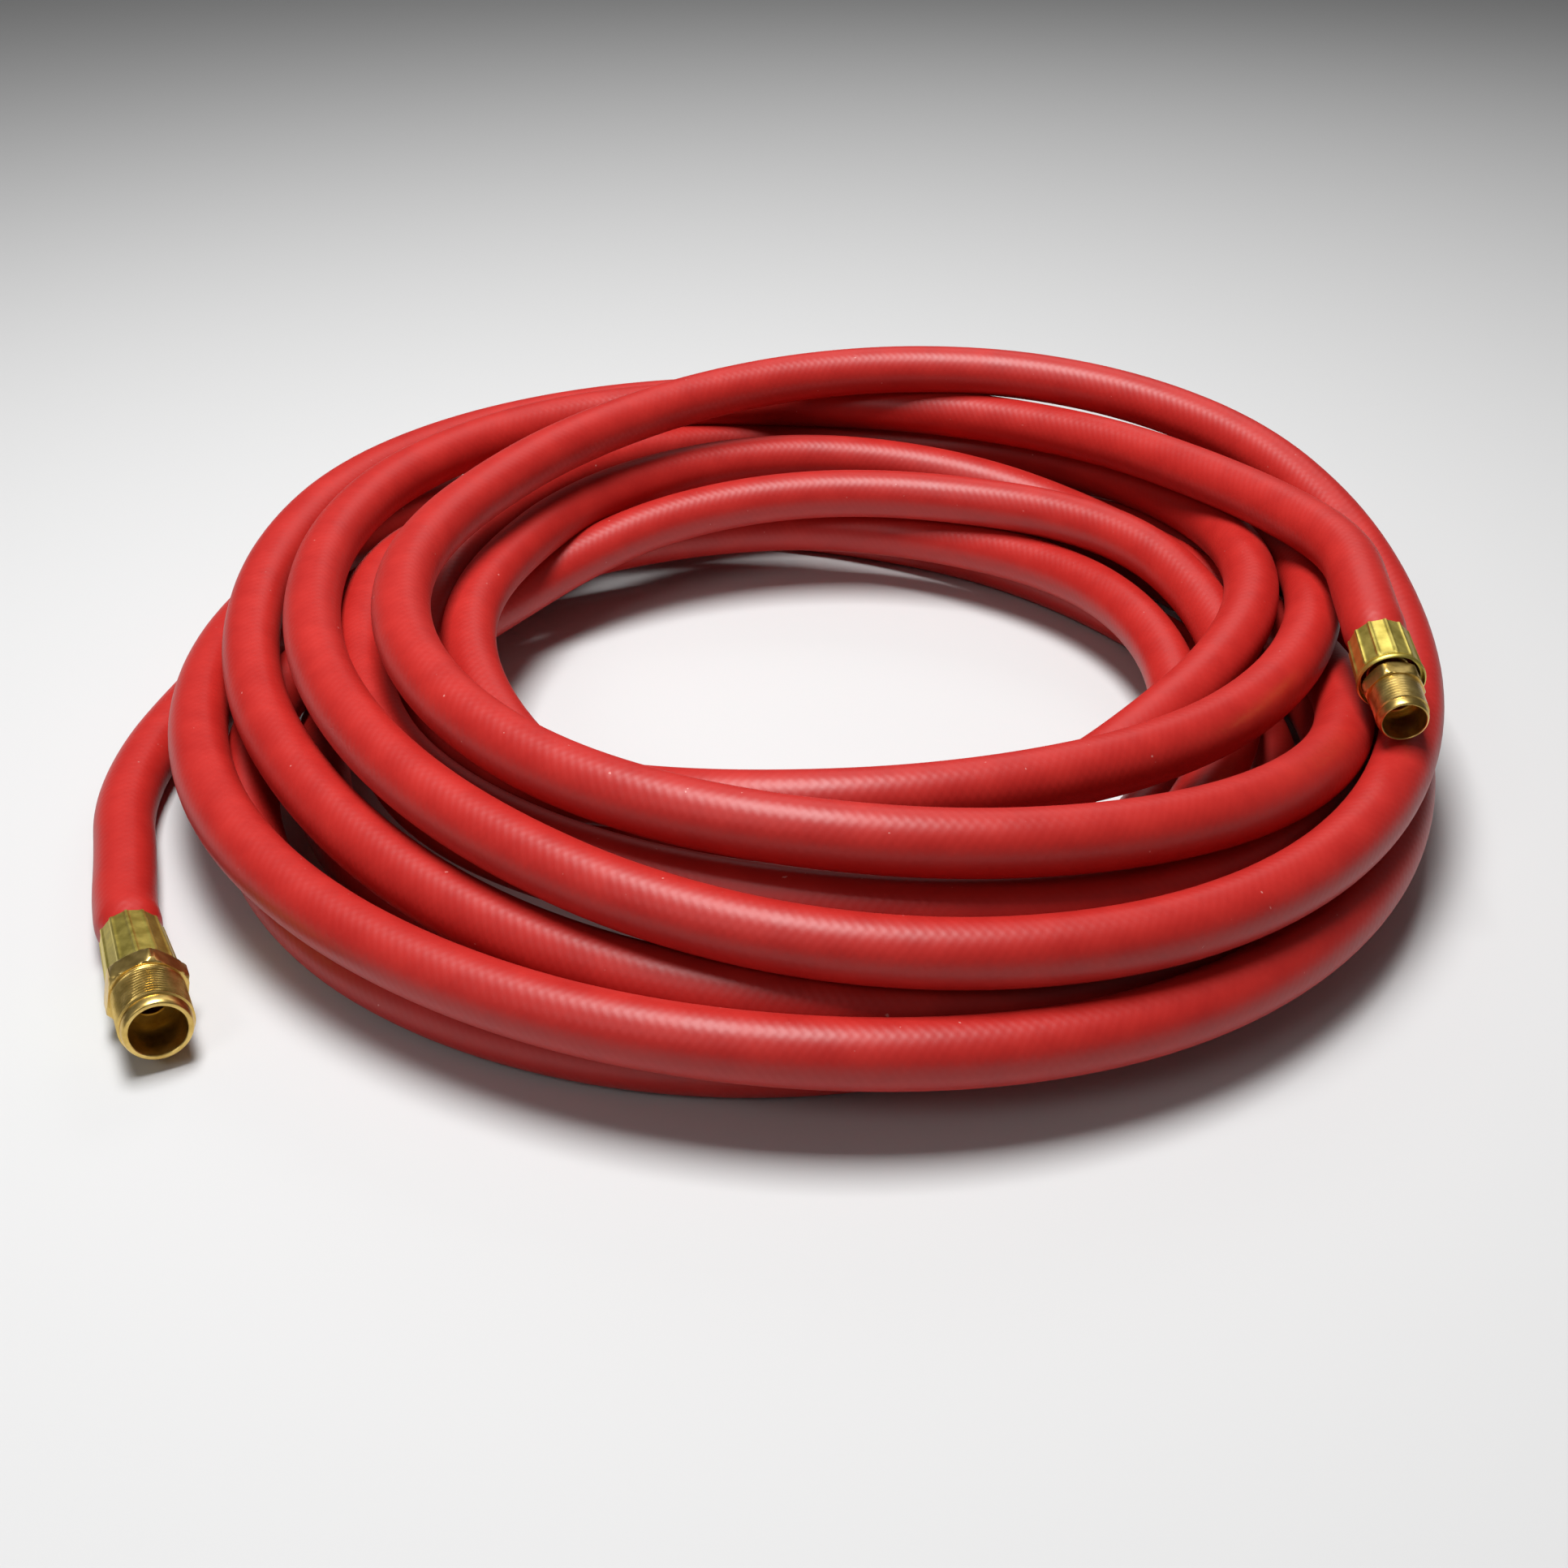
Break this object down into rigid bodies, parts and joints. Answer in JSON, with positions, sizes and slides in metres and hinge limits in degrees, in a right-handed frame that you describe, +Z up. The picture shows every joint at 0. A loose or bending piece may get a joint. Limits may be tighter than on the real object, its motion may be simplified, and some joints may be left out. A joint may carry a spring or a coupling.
{
  "type": "coiled fire hose",
  "caption": "Red rubber fire hose lying in a loose stacked coil, with a crimped brass threaded coupling on each free end.",
  "frame": {"origin": "centre of the whole object's footprint, on the surface the hose lies on", "axes": "+Z up; +X to the side with the raised outlet coupling; -Y towards the side both couplings point to"},
  "size_m": [0.5422, 0.529, 0.1069],
  "materials": {
    "hose_cover": "satin red rubber with a faint braid texture",
    "hose_braid": "woven off-white textile",
    "hose_liner": "smooth black rubber",
    "brass": "turned and crimped plain brass"
  },
  "bodies": {
    "root": {"hose_coil": "hose_cover", "inlet_hose_cover": "hose_cover", "inlet_hose_braid": "hose_braid", "inlet_hose_liner": "hose_liner", "outlet_hose_cover": "hose_cover", "outlet_hose_braid": "hose_braid", "outlet_hose_liner": "hose_liner", "inlet_ferrule": "brass", "inlet_stem": "brass", "outlet_ferrule": "brass", "outlet_stem": "brass"}
  },
  "joints": []
}
